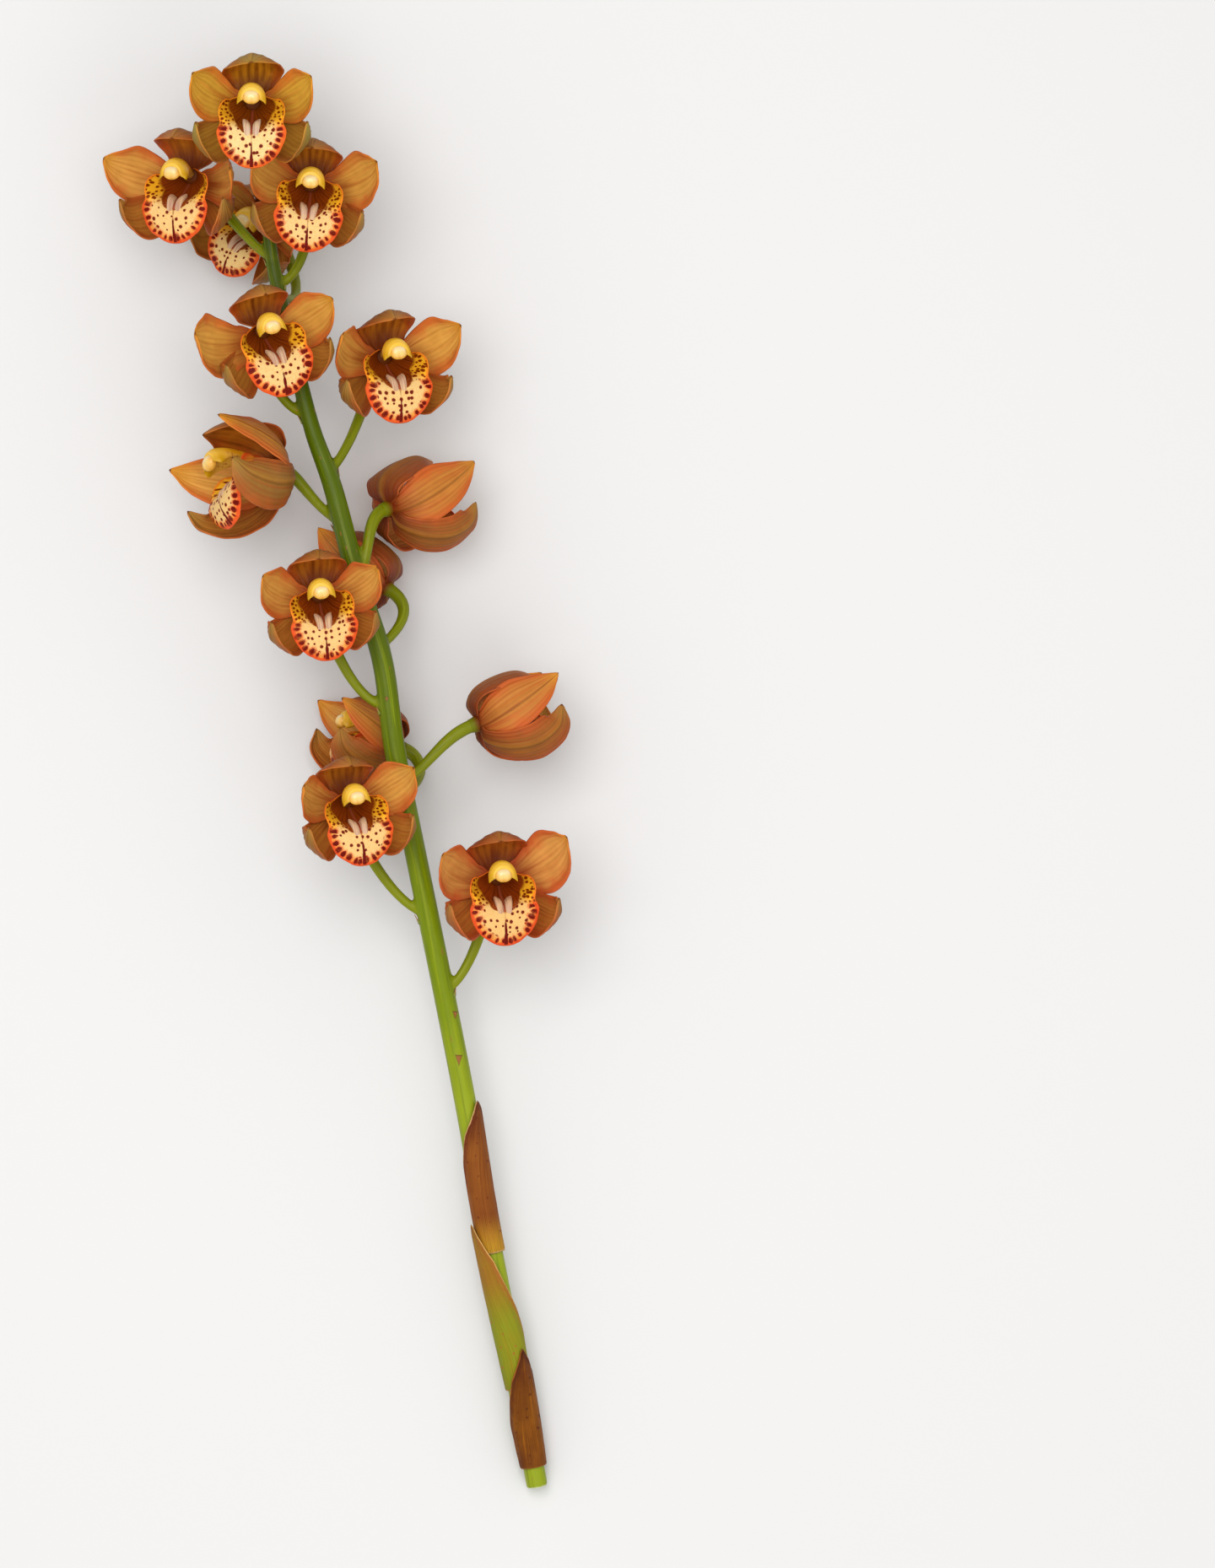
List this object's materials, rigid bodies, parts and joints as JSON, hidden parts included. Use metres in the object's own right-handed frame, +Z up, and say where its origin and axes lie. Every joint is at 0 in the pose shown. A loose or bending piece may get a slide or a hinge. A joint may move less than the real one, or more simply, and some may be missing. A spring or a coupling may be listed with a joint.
{
  "type": "cymbidium orchid stem",
  "caption": "Cut cymbidium orchid flower stem lying on its back, with open orange-brown blooms, spotted lips, curved stalks and papery sheaths low on the stem.",
  "frame": {"origin": "on the surface the stem lies on, under the middle of its box", "axes": "+Z up out of the surface, +Y along the stem from its cut end to its top bloom, +X to the right of someone who looks down on the stem with the top bloom away from them"},
  "size_m": [0.2882, 0.9079, 0.1429],
  "materials": {
    "stem": "smooth waxy green stem",
    "sheath": "dry papery sheath, brown to yellow-green, matt",
    "tepals": "fleshy orange-brown petal with fine veins, satin",
    "lip": "cream and yellow lip with dark red spots and an orange edge, satin",
    "column": "waxy golden yellow, satin",
    "anther_cap": "waxy pale yellow, glossy"
  },
  "bodies": {
    "root": {"stem": "stem", "sheath_1": "sheath", "sheath_2": "sheath", "sheath_3": "sheath", "bloom_01_tepals": "tepals", "bloom_01_lip": "lip", "bloom_01_column": "column", "bloom_01_anther_cap": "anther_cap", "bloom_02_tepals": "tepals", "bloom_02_lip": "lip", "bloom_02_column": "column", "bloom_02_anther_cap": "anther_cap", "bloom_03_tepals": "tepals", "bloom_03_lip": "lip", "bloom_03_column": "column", "bloom_03_anther_cap": "anther_cap", "bloom_04_tepals": "tepals", "bloom_04_lip": "lip", "bloom_04_column": "column", "bloom_04_anther_cap": "anther_cap", "bloom_05_tepals": "tepals", "bloom_05_lip": "lip", "bloom_05_column": "column", "bloom_05_anther_cap": "anther_cap", "bloom_06_tepals": "tepals", "bloom_06_lip": "lip", "bloom_06_column": "column", "bloom_06_anther_cap": "anther_cap", "bloom_07_tepals": "tepals", "bloom_07_lip": "lip", "bloom_07_column": "column", "bloom_07_anther_cap": "anther_cap", "bloom_08_tepals": "tepals", "bloom_08_lip": "lip", "bloom_08_column": "column", "bloom_08_anther_cap": "anther_cap", "bloom_09_tepals": "tepals", "bloom_09_lip": "lip", "bloom_09_column": "column", "bloom_09_anther_cap": "anther_cap", "bloom_10_tepals": "tepals", "bloom_10_lip": "lip", "bloom_10_column": "column", "bloom_10_anther_cap": "anther_cap", "bloom_11_tepals": "tepals", "bloom_11_lip": "lip", "bloom_11_column": "column", "bloom_11_anther_cap": "anther_cap", "bloom_12_tepals": "tepals", "bloom_12_lip": "lip", "bloom_12_column": "column", "bloom_12_anther_cap": "anther_cap", "bloom_13_tepals": "tepals", "bloom_13_lip": "lip", "bloom_13_column": "column", "bloom_13_anther_cap": "anther_cap", "bloom_14_tepals": "tepals", "bloom_14_lip": "lip", "bloom_14_column": "column", "bloom_14_anther_cap": "anther_cap"}
  },
  "joints": []
}
